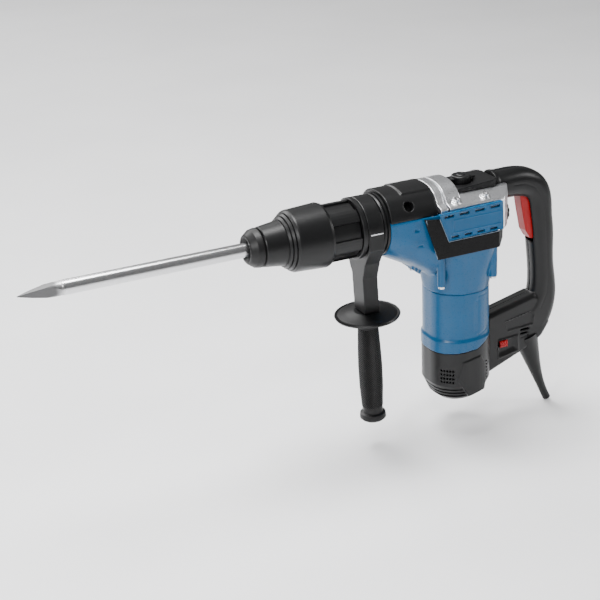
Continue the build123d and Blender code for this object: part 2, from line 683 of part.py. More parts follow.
def switch_module():
    """Switch block behind the trigger with its terminals."""
    block = box(415, 427, -8, 8, -62, -24)
    return block + box(416, 424, -5, 5, -68, -61)


def lock_slider():
    """Ridged red slider that locks the trigger."""
    x, z = SLIDER
    plate = box(x - 6, x + 6, -15.4, -13.9, z - 4.4, z + 4.4) + box(x - 4, x + 4, -14, -9.6, z - 2.2,
                                                                    z + 2.2)
    for i in range(4):
        plate += box(x - 5 + 2.8 * i, x - 3.6 + 2.8 * i, -16.4, -15.2, z - 3.6, z + 3.6)
    return plate


def electronics_module():
    """Control electronics in the lower arm."""
    return box(364, 386, -8.5, 8.5, -196, -166)


def speed_dial():
    """Notched thumb wheel behind the gearbox."""
    wheel = rod_x(14.5, 354, 362, 0, DIAL_Z)
    for k in range(12):
        a = radians(30 * k)
        wheel -= rod_x(1.8, 350, 366, 15.2 * cos(a), DIAL_Z + 15.2 * sin(a))
    return wheel + rod_x(4.0, 347.6, 355, 0, DIAL_Z) + rod_x(10, 361, 363.4, 0, DIAL_Z)


def cable_boot(grow=0.0):
    """Tapered rubber sleeve that lets the mains lead bend gently."""
    faces = []
    for (x, z), r, lean in zip(BOOT_PATH, BOOT_R, BOOT_LEAN):
        a = radians(90 - lean)
        faces.append(Plane((x, 0, z), x_dir=(0, 1, 0), z_dir=(cos(a), 0, -sin(a))) * Circle(r + grow))
    boot = loft(faces)
    if grow:
        return boot
    (x, z), a = BOOT_PATH[-1], radians(90 - BOOT_LEAN[-1])
    mouth = Plane((x, 0, z), x_dir=(0, 1, 0), z_dir=(-cos(a), 0, sin(a)))
    return boot - extrude(mouth * Circle(CABLE_R), 14)


# ---- side handle -----------------------------------------------------------
def leaned(shape):
    """Lean a part of the side handle about the point where it meets the clamp."""
    return Pos(LEG_X, 0, 0) * Rot(0, -LEG_LEAN, 0) * Pos(-LEG_X, 0, 0) * shape


def handle_clamp():
    """Clamp band round the neck and the yoke that carries the grip."""
    x0, x1 = CLAMP_X
    band = ring_x(38.4, NECK_R + RUN, x0, x1)
    yoke = loft([
        Plane((LEG_X, 0, -20), x_dir=(1, 0, 0), z_dir=(0, 0, -1)) * Rectangle(21.0, 76.4),
        Plane((LEG_X + 0.6, 0, -42), x_dir=(1, 0, 0), z_dir=(0, 0, -1)) * Rectangle(20.8, 48.0),
        Plane((LEG_X + 1.6, 0, -64), x_dir=(1, 0, 0), z_dir=(0, 0, -1)) * Rectangle(20.6, 30.0),
        Plane((LEG_X + 3.7, 0, GUARD_Z), x_dir=(1, 0, 0), z_dir=(0, 0, -1)) * Rectangle(20.4, 29.0),
    ], ruled=True)
    pads = box(x0, x1, -38.2, 38.2, -20, 0)
    body = band + pads + yoke - rod_x(NECK_R + RUN, x0 - 1, x1 + 1)
    return body - leaned(rod_z(4.0 + RUN, -130, -95, LEG_X)) - leaned(rod_z(8.5, -95.2, -70, LEG_X))


def hand_guard():
    """Dished disc between the yoke and the grip."""
    outline = [(4.4, -112.6), (17, -112.6), (28, -115.2), (38, -117.2), (41, -116.6), (42, -118.0),
               (41.2, -120.0),
               (31, -121.6), (17, -122.2), (4.4, -122.2)]
    return leaned(turn_z(outline, LEG_X))


def side_grip():
    """Textured grip with an end knob, turned to tighten the clamp."""
    outline = [(0, -123.0), (11.5, -123.0), (12.6, -136), (14.2, -165), (15.0, -190), (14.6, -220),
               (13.2, -246),
               (13.2, -255.2), (16.4, -256.6), (17.0, -259.5), (17.0, -263.0), (14.5, -265.6),
               (0, GRIP_LOW)]
    return leaned(turn_z(outline, LEG_X) - rod_z(4.0, -150, -122, LEG_X))


def grip_stud():
    """Threaded stud that joins the grip to the clamp, with its nut."""
    return leaned(rod_z(4.0, -150, -86, LEG_X) + rod_z(7.6, -94, -84, LEG_X))


# ---- fasteners -------------------------------------------------------------
def gearbox_screws():
    """Cap screws on the gearbox shoulders."""
    return Compound(children=[place * screw_z(0, 0, 7.7, 10, 2.2, 4.0, 3.2) for place in shoulder_bosses()])


def housing_screws():
    """Screws that hold the bell to the bearing plate."""
    parts = [screw_z(x, y, -88.6, 18, 2.2, 4.0, 2.6, up=False) for x, y in BELL_SCREWS]
    return Compound(children=parts)


def handle_screws():
    """Screws that hold the two halves of the rear handle together."""
    return Compound(children=[rod_y(1.6, 0.5, 12, x, z) + rod_y(3.0, 10.4, 13, x, z) for x,
                              z in HANDLE_SCREWS])


def build_all():
    save("chisel", chisel())
    save("dust_cap", dust_cap())
    save("holder_tube", holder_tube())
    save("lock_rollers", lock_rollers())
    save("locking_sleeve", locking_sleeve())
    save("sleeve_spring", sleeve_spring())
    save("adjusting_ring", adjusting_ring())
    save("impact_bolt", impact_bolt())
    save("ram", ram())
    save("ram_ring", ram_ring())
    save("cylinder_tube", cylinder_tube())
    save("piston", piston())
    save("wrist_pin", wrist_pin())
    save("connecting_rod", connecting_rod())
    save("crank_gear", crank_gear())
    save("crank_bearings", crank_bearings())
    save("bearing_plate", bearing_plate())
    save("armature_shaft", armature_shaft())
    save("armature_core", armature_core())
    save("commutator", commutator())
    save("cooling_fan", cooling_fan())
    save("motor_bearing_top", motor_bearing(-41, -31, 4.5, 11.0))
    save("motor_bearing_bottom", motor_bearing(-241, -233, 4.0, 9.5))
    save("stator_core", stator_core())
    save("field_coils", field_coils())
    save("brush_holders", brush_holders())
    save("carbon_brushes", carbon_brushes())
    save("barrel_neck", barrel_neck())
    save("gear_cover", gear_cover())
    save("gearbox_housing", gearbox_housing())
    save("top_platform", top_platform())
    save("mode_knob", mode_knob())
    save("transmission_housing", transmission_housing())
    save("motor_housing", motor_housing())
    save("motor_end_cap", motor_end_cap())
    save("side_cover_left", side_cover(-1))
    save("side_cover_right", side_cover(1))
    save("trim_band_left", trim_band(-1))
    save("trim_band_right", trim_band(1))
    save("handle_shell_left", handle_shell(-1))
    save("handle_shell_right", handle_shell(1))
    save("trigger", trigger())
    save("trigger_pin", trigger_pin())
    save("switch_module", switch_module())
    save("lock_slider", lock_slider())
    save("electronics_module", electronics_module())
    save("speed_dial", speed_dial())
    save("cable_boot", cable_boot())
    save("handle_clamp", handle_clamp())
    save("hand_guard", hand_guard())
    save("side_grip", side_grip())
    save("grip_stud", grip_stud())
    save("gearbox_screws", gearbox_screws())
    save("housing_screws", housing_screws())
    save("handle_screws", handle_screws())


build_all()
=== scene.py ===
import json
import math

import bmesh
import bpy
from bpy.props import FloatProperty, FloatVectorProperty, PointerProperty
from mathutils import Matrix, Vector


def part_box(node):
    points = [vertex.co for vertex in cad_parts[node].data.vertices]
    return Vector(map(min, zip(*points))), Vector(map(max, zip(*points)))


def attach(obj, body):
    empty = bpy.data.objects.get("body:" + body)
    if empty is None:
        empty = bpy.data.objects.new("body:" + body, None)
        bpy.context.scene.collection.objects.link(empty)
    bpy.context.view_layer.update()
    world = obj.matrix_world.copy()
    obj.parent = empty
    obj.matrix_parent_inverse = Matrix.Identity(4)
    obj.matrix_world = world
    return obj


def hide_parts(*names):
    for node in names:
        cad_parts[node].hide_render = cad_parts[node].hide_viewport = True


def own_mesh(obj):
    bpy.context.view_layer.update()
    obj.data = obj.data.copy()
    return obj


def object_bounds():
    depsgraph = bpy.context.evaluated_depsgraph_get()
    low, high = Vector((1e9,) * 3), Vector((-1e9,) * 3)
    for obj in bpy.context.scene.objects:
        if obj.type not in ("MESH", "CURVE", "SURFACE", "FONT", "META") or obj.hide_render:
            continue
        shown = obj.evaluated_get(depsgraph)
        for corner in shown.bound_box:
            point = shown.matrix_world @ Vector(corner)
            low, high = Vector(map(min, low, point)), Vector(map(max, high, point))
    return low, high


bl_info = {
    "name": "Demolition Hammer Looks",
    "version": (1, 0, 0),
    "blender": (4, 5, 0),
    "location": "View3D > Sidebar > Hammer",
    "description": "Builds the visible surfaces of an electric demolition hammer on its packed frame",
    "category": "Object",
}

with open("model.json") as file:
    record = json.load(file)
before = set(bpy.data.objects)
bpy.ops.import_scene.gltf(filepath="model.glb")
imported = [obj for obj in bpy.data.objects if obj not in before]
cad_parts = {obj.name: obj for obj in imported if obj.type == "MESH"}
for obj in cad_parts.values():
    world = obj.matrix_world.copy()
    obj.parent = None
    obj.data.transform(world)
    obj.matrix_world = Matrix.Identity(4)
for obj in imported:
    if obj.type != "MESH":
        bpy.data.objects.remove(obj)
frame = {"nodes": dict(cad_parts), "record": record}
CAD_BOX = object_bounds()
MM = 0.001
WELD = 0.001 * MM


# ---- settings ----------------------------------------------------------------
class HammerFinish(bpy.types.PropertyGroup):
    """Colours of the hammer's materials."""
    shell_blue: FloatVectorProperty(name="Shell blue", description="Colour of the moulded blue housings",
                                    subtype="COLOR", size=3, default=(0.0, 0.070, 0.175), min=0.0, max=1.0)
    shell_black: FloatVectorProperty(name="Shell black", description="Colour of the moulded black parts",
                                     subtype="COLOR", size=3, default=(0.0030, 0.0031, 0.0034),
                                     min=0.0, max=1.0)
    rubber_black: FloatVectorProperty(name="Rubber black", description="Colour of the rubber parts",
                                      subtype="COLOR", size=3, default=(0.0024, 0.0024, 0.0026),
                                      min=0.0, max=1.0)
    signal_red: FloatVectorProperty(name="Signal red",
                                    description="Colour of the trigger and the lock slider",
                                    subtype="COLOR", size=3, default=(0.34, 0.0015, 0.003), min=0.0, max=1.0)
    casting: FloatVectorProperty(name="Casting", description="Colour of the cast aluminium gearbox",
                                 subtype="COLOR", size=3, default=(0.80, 0.81, 0.83), min=0.0, max=1.0)
    steel: FloatVectorProperty(name="Steel", description="Colour of the polished steel",
                               subtype="COLOR", size=3, default=(0.66, 0.66, 0.67), min=0.0, max=1.0)


class HammerShape(bpy.types.PropertyGroup):
    """Sizes of the added surface detail."""
    knurl_pitch: FloatProperty(name="Knurl pitch", description="Distance between the studs on the side grip",
                               default=0.0030, min=0.0015, max=0.006, unit="LENGTH")
    knurl_height: FloatProperty(name="Knurl height", description="Height of one stud on the side grip",
                                default=0.0006, min=0.0001, max=0.002, unit="LENGTH")
    shell_voxel: FloatProperty(name="Shell voxel", description="Fineness of the softened housing edges",
                               default=0.0009, min=0.0005, max=0.003, unit="LENGTH")


class HammerStage(bpy.types.PropertyGroup):
    """Camera, floor and light."""
    lens: FloatProperty(name="Lens", description="Focal length of the camera in millimetres", default=90.0,
                        min=30.0, max=200.0)
    key_power: FloatProperty(name="Key light", description="Power of the key light", default=84.0, min=0.0,
                             max=500.0, unit="POWER")
    fill_power: FloatProperty(name="Fill light", description="Power of the fill light", default=26.0, min=0.0,
                              max=500.0, unit="POWER")


# ---- materials ---------------------------------------------------------------
def node_tree(name):
    mat = bpy.data.materials.get(name) or bpy.data.materials.new(name)
    mat.use_nodes = True
    tree = mat.node_tree
    tree.nodes.clear()
    out = tree.nodes.new("ShaderNodeOutputMaterial")
    bsdf = tree.nodes.new("ShaderNodeBsdfPrincipled")
    tree.links.new(bsdf.outputs["BSDF"], out.inputs["Surface"])
    return mat, tree, bsdf


def object_noise(tree, scale, detail=3.0, stretch=(1.0, 1.0, 1.0)):
    """Noise on the object's own coordinates."""
    coords = tree.nodes.new("ShaderNodeTexCoord")
    mapping = tree.nodes.new("ShaderNodeMapping")
    mapping.inputs["Scale"].default_value = stretch
    noise = tree.nodes.new("ShaderNodeTexNoise")
    noise.inputs["Scale"].default_value = scale
    noise.inputs["Detail"].default_value = detail
    tree.links.new(coords.outputs["Object"], mapping.inputs["Vector"])
    tree.links.new(mapping.outputs["Vector"], noise.inputs["Vector"])
    return noise


def spread(tree, noise, low, high):
    """Map a noise to a narrow range of values."""
    remap = tree.nodes.new("ShaderNodeMapRange")
    remap.inputs["From Min"].default_value = 0.3
    remap.inputs["From Max"].default_value = 0.7
    remap.inputs["To Min"].default_value = low
    remap.inputs["To Max"].default_value = high
    tree.links.new(noise.outputs["Fac"], remap.inputs["Value"])
    return remap.outputs["Result"]


def tinted(tree, bsdf, noise, dark, light):
    """Vary the base colour between two near tones."""
    ramp = tree.nodes.new("ShaderNodeValToRGB")
    ramp.color_ramp.elements[0].position = 0.35
    ramp.color_ramp.elements[1].position = 0.65
    ramp.color_ramp.elements[0].color = (*dark, 1.0)
    ramp.color_ramp.elements[1].color = (*light, 1.0)
    tree.links.new(noise.outputs["Fac"], ramp.inputs["Fac"])
    tree.links.new(ramp.outputs["Color"], bsdf.inputs["Base Color"])


def bumped(tree, bsdf, noise, distance, strength=0.5):
    bump = tree.nodes.new("ShaderNodeBump")
    bump.inputs["Strength"].default_value = strength
    bump.inputs["Distance"].default_value = distance
    tree.links.new(noise.outputs["Fac"], bump.inputs["Height"])
    tree.links.new(bump.outputs["Normal"], bsdf.inputs["Normal"])


def toned(colour, factor):
    return tuple(min(1.0, c * factor) for c in colour)


def moulded(name, colour, rough, grain, depth, shine=0.4):
    """Moulded plastic: fine spark-eroded grain, slow colour drift and uneven gloss."""
    mat, tree, bsdf = node_tree(name)
    drift = object_noise(tree, 14.0)
    tinted(tree, bsdf, drift, toned(colour, 0.93), toned(colour, 1.07))
    fine = object_noise(tree, grain, 4.0)
    tree.links.new(spread(tree, fine, rough - 0.04, rough + 0.05), bsdf.inputs["Roughness"])
    bumped(tree, bsdf, fine, depth)
    bsdf.inputs["Specular IOR Level"].default_value = shine
    return mat


def metal(name, colour, rough, grain, depth, stretch=(1.0, 1.0, 1.0), tone=0.12):
    """Bare metal with a machined, ground or cast surface."""
    mat, tree, bsdf = node_tree(name)
    bsdf.inputs["Metallic"].default_value = 1.0
    marks = object_noise(tree, grain, 5.0, stretch)
    tinted(tree, bsdf, marks, toned(colour, 1 - tone), toned(colour, 1 + tone / 2))
    tree.links.new(spread(tree, marks, rough - 0.05, rough + 0.08), bsdf.inputs["Roughness"])
    bumped(tree, bsdf, marks, depth, 0.35)
    return mat


def chisel_steel(steel):
    """Ground bar with a dark forged point in front of the given shoulder."""
    mat, tree, bsdf = node_tree("chisel_steel")
    bsdf.inputs["Metallic"].default_value = 1.0
    marks = object_noise(tree, 260.0, 5.0, (1.0, 14.0, 14.0))
    tinted(tree, bsdf, marks, toned(steel, 0.85), toned(steel, 1.05))
    bright = bsdf.inputs["Base Color"].links[0].from_socket
    coords = tree.nodes.new("ShaderNodeTexCoord")
    axes = tree.nodes.new("ShaderNodeSeparateXYZ")
    fade = tree.nodes.new("ShaderNodeMapRange")
    fade.inputs["From Min"].default_value = -0.236
    fade.inputs["From Max"].default_value = -0.224
    mix = tree.nodes.new("ShaderNodeMix")
    mix.data_type = "RGBA"
    mix.inputs["A"].default_value = (*toned(steel, 0.2), 1.0)
    link = tree.links.new
    link(coords.outputs["Object"], axes.inputs["Vector"])
    link(axes.outputs["X"], fade.inputs["Value"])
    link(fade.outputs["Result"], mix.inputs["Factor"])
    link(bright, mix.inputs["B"])
    link(mix.outputs["Result"], bsdf.inputs["Base Color"])
    gloss = tree.nodes.new("ShaderNodeMapRange")
    gloss.inputs["From Min"].default_value = -0.236
    gloss.inputs["From Max"].default_value = -0.224
    gloss.inputs["To Min"].default_value = 0.46
    gloss.inputs["To Max"].default_value = 0.24
    link(axes.outputs["X"], gloss.inputs["Value"])
    link(gloss.outputs["Result"], bsdf.inputs["Roughness"])
    bumped(tree, bsdf, marks, 0.00001, 0.35)
    return mat


def finishes():
    """Every material, made once from the colour settings."""
    tone = bpy.context.scene.hammer_finish
    black = tuple(tone.shell_black)
    steel = tuple(tone.steel)
    return {
        "blue": moulded("moulded_blue", tuple(tone.shell_blue), 0.30, 900.0, 0.00001, 0.34),
        "black": moulded("moulded_black", black, 0.38, 1100.0, 0.00003, 0.32),
        "gloss": moulded("smooth_black", toned(black, 0.5), 0.30, 700.0, 0.000004, 0.14),
        "rubber": moulded("rubber_black", tuple(tone.rubber_black), 0.44, 1300.0, 0.00004, 0.32),
        "red": moulded("moulded_red", tuple(tone.signal_red), 0.34, 800.0, 0.00001, 0.3),
        # light grey for the rods along the trim band's edges: a painted highlight where those edges catch the
        # light
        "painted_highlight": moulded("painted_edge_highlight", (0.16, 0.20, 0.25), 0.40, 900.0, 0.00001),
        "casting": metal("cast_aluminium", tuple(tone.casting), 0.30, 900.0, 0.00001, tone=0.03),
        "steel": metal("ground_steel", steel, 0.20, 260.0, 0.00001, (1.0, 14.0, 14.0)),
        "chisel": chisel_steel(steel),
        "screw": metal("zinc_screw", toned(steel, 1.1), 0.26, 900.0, 0.00002),
        "piston": metal("turned_aluminium", (0.72, 0.73, 0.75), 0.28, 300.0, 0.00001, (20.0, 1.0, 1.0)),
        "iron": metal("stacked_sheet", (0.20, 0.20, 0.21), 0.45, 90.0, 0.00008, (0.1, 0.1, 12.0)),
        "copper": metal("bare_copper", (0.72, 0.34, 0.16), 0.32, 400.0, 0.00003),
        "carbon": moulded("pressed_carbon", (0.03, 0.03, 0.03), 0.55, 700.0, 0.00004),
    }


SLOT_FINISH = {
    "black_plastic": "black", "blue_plastic": "blue", "red_plastic": "red", "cast_aluminium": "casting",
    "polished_steel": "steel", "aluminium_piston": "piston", "rubber": "rubber", "laminated_iron": "iron",
    "copper": "copper", "carbon": "carbon",
}


def slot_of(node):
    for part in frame["record"]["subparts"]:
        if part["node"] == node:
            return part["material_slot"]
    raise RuntimeError(f"no material slot is recorded for {node}")


def body_of_node(node):
    for body, members in frame["record"]["behaviour"]["bodies"].items():
        if node in members:
            return body
    raise RuntimeError(f"{node} is in no body")


_finishes = {}


def finish_material(name):
    """The material of a finish; all of them are made the first time one is asked for."""
    if not _finishes:
        _finishes.update(finishes())
    return _finishes[name]


def dress(obj, finish):
    """Give an object one of the finishes on all its faces."""
    obj.data.materials.clear()
    obj.data.materials.append(finish_material(finish))


# ---- mesh helpers ------------------------------------------------------------
def new_object(name, mesh):
    obj = bpy.data.objects.new(name, mesh)
    bpy.context.scene.collection.objects.link(obj)
    return obj


def mesh_object(name, build):
    """An object whose mesh is made by build(bm)."""
    bm = bmesh.new()
    build(bm)
    bmesh.ops.recalc_face_normals(bm, faces=bm.faces)
    mesh = bpy.data.meshes.new(name)
    bm.to_mesh(mesh)
    bm.free()
    return new_object(name, mesh)


def cad_copy(node, name):
    """A welded copy of a CAD node's surface."""
    mesh = frame["nodes"][node].data.copy()
    mesh.name = name
    obj = new_object(name, mesh)
    if mesh.has_custom_normals:
        bpy.context.view_layer.objects.active = obj
        with bpy.context.temp_override(object=obj, active_object=obj, selected_objects=[obj]):
            bpy.ops.mesh.customdata_custom_splitnormals_clear()
    bm = bmesh.new()
    bm.from_mesh(mesh)
    bmesh.ops.remove_doubles(bm, verts=bm.verts, dist=WELD)
    bm.to_mesh(mesh)
    bm.free()
    return obj


def settle(obj):
    """Turn the evaluated object into a plain mesh and drop its modifiers."""
    graph = bpy.context.evaluated_depsgraph_get()
    mesh = bpy.data.meshes.new_from_object(obj.evaluated_get(graph))
    obj.modifiers.clear()
    old = obj.data
    obj.data = mesh
    bpy.data.meshes.remove(old)
    return obj


def shade(obj, degrees=35.0):
    """Smooth faces, with sharp edges kept above an angle."""
    mesh = obj.data
    mesh.shade_smooth()
    bm = bmesh.new()
    bm.from_mesh(mesh)
    limit = math.radians(degrees)
    for edge in bm.edges:
        edge.smooth = not (len(edge.link_faces) == 2 and edge.calc_face_angle(0.0) > limit)
    bm.to_mesh(mesh)
    bm.free()


def tapered(bm, outline, inner, axis, low, high):
    """A closed frustum between an outline at low and another at high, in millimetres.
    The points are in the two axes left over, in X, Y, Z order."""
    rest = [i for i in range(3) if i != axis]
    rings = []
    for level, shape in ((low, outline), (high, inner)):
        ring = []
        for a, b in shape:
            place = [0.0, 0.0, 0.0]
            place[axis], place[rest[0]], place[rest[1]] = level * MM, a * MM, b * MM
            ring.append(bm.verts.new(place))
        rings.append(ring)
    wrap(bm, rings)
    bm.faces.new(rings[0])
    bm.faces.new(list(reversed(rings[1])))


def wrap(bm, rings):
    """Join each ring of points to the next with a band of faces."""
    count = len(rings[0])
    for a, b in zip(rings, rings[1:]):
        for k in range(count):
            j = (k + 1) % count
            bm.faces.new((a[k], a[j], b[j], b[k]))


def prism(bm, outline, axis, low, high):
    """A closed straight prism."""
    tapered(bm, outline, outline, axis, low, high)


def block(bm, low, high):
    """A box between two corners, in millimetres."""
    (x0, y0, z0), (x1, y1, z1) = low, high
    prism(bm, [(x0, y0), (x1, y0), (x1, y1), (x0, y1)], 2, z0, z1)


def combine(obj, tool, operation="DIFFERENCE"):
    """Cut one object with another, or keep what both share."""
    mod = obj.modifiers.new("combine", "BOOLEAN")
    mod.operation = operation
    mod.solver = "EXACT"
    mod.use_self = True
    mod.object = tool
    settle(obj)


def carve(obj, build):
    """Cut a built shape out of an object."""
    tool = mesh_object(obj.name + "_tool", build)
    combine(obj, tool)
    bpy.data.objects.remove(tool)


def soften(obj, voxel, rounds=3, keep=1.0):
    """Round every edge a little, as a mould or a casting does."""
    remesh = obj.modifiers.new("skin", "REMESH")
    remesh.mode = "VOXEL"
    remesh.voxel_size = voxel
    smooth = obj.modifiers.new("relax", "SMOOTH")
    smooth.factor = 0.5
    smooth.iterations = rounds
    if keep < 1.0:
        thin = obj.modifiers.new("thin", "DECIMATE")
        thin.ratio = keep
    settle(obj)
    obj.data.shade_smooth()
    return obj


def fit_out(obj, node, finish, *more):
    """Put a finished piece in the place of a CAD node."""
    dress(obj, finish)
    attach(obj, body_of_node(node))
    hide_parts(node, *more)


def add_on(obj, node, finish):
    """Put a finished extra piece on the body of a CAD node."""
    dress(obj, finish)
    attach(obj, body_of_node(node))


def low_high(node):
    """A node's box corners in millimetres."""
    low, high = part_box(node)
    return low / MM, high / MM


# ---- geometry nodes ----------------------------------------------------------
def node_group(name, inputs):
    """A geometry tree with named inputs; returns the tree, its input node and its output node."""
    tree = bpy.data.node_groups.new(name, "GeometryNodeTree")
    tree.interface.new_socket("Geometry", in_out="INPUT", socket_type="NodeSocketGeometry")
    for label, kind in inputs:
        tree.interface.new_socket(label, in_out="INPUT", socket_type="NodeSocket" + kind)
    tree.interface.new_socket("Geometry", in_out="OUTPUT", socket_type="NodeSocketGeometry")
    return tree, tree.nodes.new("NodeGroupInput"), tree.nodes.new("NodeGroupOutput")


def realized(tree, geometry, given, out):
    """Close a tree with Realize Instances and Set Material."""
    real = tree.nodes.new("GeometryNodeRealizeInstances")
    paint = tree.nodes.new("GeometryNodeSetMaterial")
    tree.links.new(geometry, real.inputs["Geometry"])
    tree.links.new(real.outputs["Geometry"], paint.inputs["Geometry"])
    tree.links.new(given.outputs["Material"], paint.inputs["Material"])
    tree.links.new(paint.outputs["Geometry"], out.inputs["Geometry"])


def grow(obj, tree, values):
    """Run a geometry tree on an object and keep the plain mesh it gives."""
    mod = obj.modifiers.new("grow", "NODES")
    mod.node_group = tree
    for item in tree.interface.items_tree:
        if item.in_out == "INPUT" and item.name in values:
            mod[item.identifier] = values[item.name]
    return settle(obj)


def stud_tree():
    """Small four-sided studs standing on every point of a surface."""
    tree, given, out = node_group("grip_studs", [("Width", "Float"), ("Height", "Float"),
                                                 ("Material", "Material")])
    stud = tree.nodes.new("GeometryNodeMeshCone")
    stud.inputs["Vertices"].default_value = 4
    narrow = tree.nodes.new("ShaderNodeMath")
    narrow.operation = "MULTIPLY"
    narrow.inputs[1].default_value = 0.42
    normal = tree.nodes.new("GeometryNodeInputNormal")
    turn = tree.nodes.new("FunctionNodeAxesToRotation")
    turn.primary_axis, turn.secondary_axis = "Z", "X"
    turn.inputs["Secondary Axis"].default_value = (0.0, 0.0, 1.0)
    place = tree.nodes.new("GeometryNodeInstanceOnPoints")
    link = tree.links.new
    link(given.outputs["Width"], stud.inputs["Radius Bottom"])
    link(given.outputs["Width"], narrow.inputs[0])
    link(narrow.outputs[0], stud.inputs["Radius Top"])
    link(given.outputs["Height"], stud.inputs["Depth"])
    link(normal.outputs["Normal"], turn.inputs["Primary Axis"])
    link(given.outputs["Geometry"], place.inputs["Points"])
    link(stud.outputs["Mesh"], place.inputs["Instance"])
    link(turn.outputs["Rotation"], place.inputs["Rotation"])
    realized(tree, place.outputs["Instances"], given, out)
    return tree


def rib_tree():
    """Upright ribs spaced evenly round a ring, added to the given body."""
    tree, given, out = node_group("ring_ribs", [
        ("Count", "Int"), ("Ring Radius", "Float"), ("Rib Size", "Vector"), ("Centre", "Vector"),
        ("Material", "Material")])
    link = tree.links.new
    ring = tree.nodes.new("GeometryNodeMeshCircle")
    rib = tree.nodes.new("GeometryNodeMeshCube")
    index = tree.nodes.new("GeometryNodeInputIndex")
    share = tree.nodes.new("ShaderNodeMath")
    share.operation = "DIVIDE"
    angle = tree.nodes.new("ShaderNodeMath")
    angle.operation = "MULTIPLY"
    angle.inputs[1].default_value = math.tau
    euler = tree.nodes.new("ShaderNodeCombineXYZ")
    place = tree.nodes.new("GeometryNodeInstanceOnPoints")
    shift = tree.nodes.new("GeometryNodeTransform")
    both = tree.nodes.new("GeometryNodeJoinGeometry")
    link(given.outputs["Count"], ring.inputs["Vertices"])
    link(given.outputs["Ring Radius"], ring.inputs["Radius"])
    link(given.outputs["Rib Size"], rib.inputs["Size"])
    link(index.outputs["Index"], share.inputs[0])
    link(given.outputs["Count"], share.inputs[1])
    link(share.outputs[0], angle.inputs[0])
    link(angle.outputs[0], euler.inputs["Z"])
    link(ring.outputs["Mesh"], place.inputs["Points"])
    link(rib.outputs["Mesh"], place.inputs["Instance"])
    link(euler.outputs["Vector"], place.inputs["Rotation"])
    link(place.outputs["Instances"], shift.inputs["Geometry"])
    link(given.outputs["Centre"], shift.inputs["Translation"])
    link(shift.outputs["Geometry"], both.inputs["Geometry"])
    link(given.outputs["Geometry"], both.inputs["Geometry"])
    realized(tree, both.outputs["Geometry"], given, out)
    return tree


# ---- shaped pieces -----------------------------------------------------------
def join_on(obj, build):
    """Add a built closed shape to an object's mesh; the remesh that follows melts them together."""
    bm = bmesh.new()
    bm.from_mesh(obj.data)
    extra = bmesh.new()
    build(extra)
    bmesh.ops.recalc_face_normals(extra, faces=extra.faces)
    spare = bpy.data.meshes.new("spare")
    extra.to_mesh(spare)
    extra.free()
    bm.from_mesh(spare)
    bm.to_mesh(obj.data)
    bm.free()
    bpy.data.meshes.remove(spare)


def housing(node, finish, cut=None, add=None, rounds=3, keep=1.0, voxel=None, clear=None):
    """A CAD housing with moulded details and soft edges; clear is cut last, with crisp edges."""
    piece = cad_copy(node, node + "_moulding")
    if add:
        join_on(piece, add)
    if cut:
        carve(piece, cut)
    soften(piece, voxel or bpy.context.scene.hammer_shape.shell_voxel, rounds, keep)
    if clear:
        carve(piece, clear)
        shade(piece, 50)
    fit_out(piece, node, finish)
    return piece


def rod_path(bm, points, radius, sides=10):
    """A closed round rod through points in millimetres."""
    rings = []
    for i, point in enumerate(points):
        ahead = Vector(points[min(i + 1, len(points) - 1)]) - Vector(points[max(i - 1, 0)])
        ahead.normalize()
        side = ahead.cross(Vector((0, 1, 0))).normalized()
        other = ahead.cross(side)
        rings.append([bm.verts.new((Vector(point) + (side * math.cos(t) + other * math.sin(t)) * radius) * MM)
                      for t in (math.tau * k / sides for k in range(sides))])
    wrap(bm, rings)
    bm.faces.new(list(reversed(rings[0])))
    bm.faces.new(rings[-1])


def tilted_slot(bm, middle, long, high, deep, turn, slant=0.0):
    """A block facing out from a vertical axis, turned about Z by turn and in its own plane by slant.
    It is long across, high up and deep inwards."""
    made = bmesh.ops.create_cube(bm, size=1.0)["verts"]
    place = (Matrix.Translation(Vector(middle) * MM) @ Matrix.Rotation(math.radians(turn), 4, "Z")
             @ Matrix.Rotation(math.radians(slant), 4, "X")
             @ Matrix.Diagonal((deep * MM, long * MM, high * MM, 1.0)))
    bmesh.ops.transform(bm, matrix=place, verts=made)


ARM_RECESS = [(357, -168.4), (397.6, -161.4), (401.6, -166.5), (400.4, -180.4), (361.4, -181.6)]
DISH = [(346.6, -192.6), (376.4, -191.6), (378.4, -213.2), (347.0, -218.2)]
DISH_FLOOR = [(347.6, -193.6), (369.6, -193.4), (371, -206.4), (348.0, -211.6)]
GRIP_LINE = [(366, 20.5, 18.3), (384, 19.0, 17.9), (398, 12.0, 17.4), (408, -1, 17.0), (413.4, -14, 16.8),
             (417, -42, 16.4), (420, -80, 16.2), (422.4, -116, 16.2), (421, -139, 16.2), (412, -160, 15.8)]


def handle_cuts(side):
    """Grooves, slots and recesses on one half of the rear handle."""
    def build(bm):
        face = side * 14.5
        prism(bm, ARM_RECESS, 1, *sorted((face - side * 1.1, side * 30)))
        for row in range(3):
            z = -185.2 - 5.2 * row
            prism(bm, [(381, z - 1.4), (396, z - 1.1), (396, z + 1.1), (381, z + 0.9)], 1,
                  *sorted((side * 8, side * 30)))
        rod_path(bm, [(x, side * (y + 0.35), z) for x, z, y in GRIP_LINE], 1.0)
        if side < 0:
            tapered(bm, DISH, DISH_FLOOR, 1, face - 1.7, face + 1.5)
    return build


def handle_rims(side):
    """Raised rims round the recess and the slider's dish."""
    def build(bm):
        face = side * 14.5
        edge = [(x, side * 14.7, z) for x, z in ARM_RECESS]
        rod_path(bm, edge + edge[:1], 0.75)
        if side < 0:
            grown = [(x + (3 if x > 360 else -0.6), z + (2.6 if z > -200 else -2.6)) for x, z in DISH]
            tapered(bm, grown, [(x, z) for x, z in DISH], 1, face + 1.0, face - 1.5)
    return build


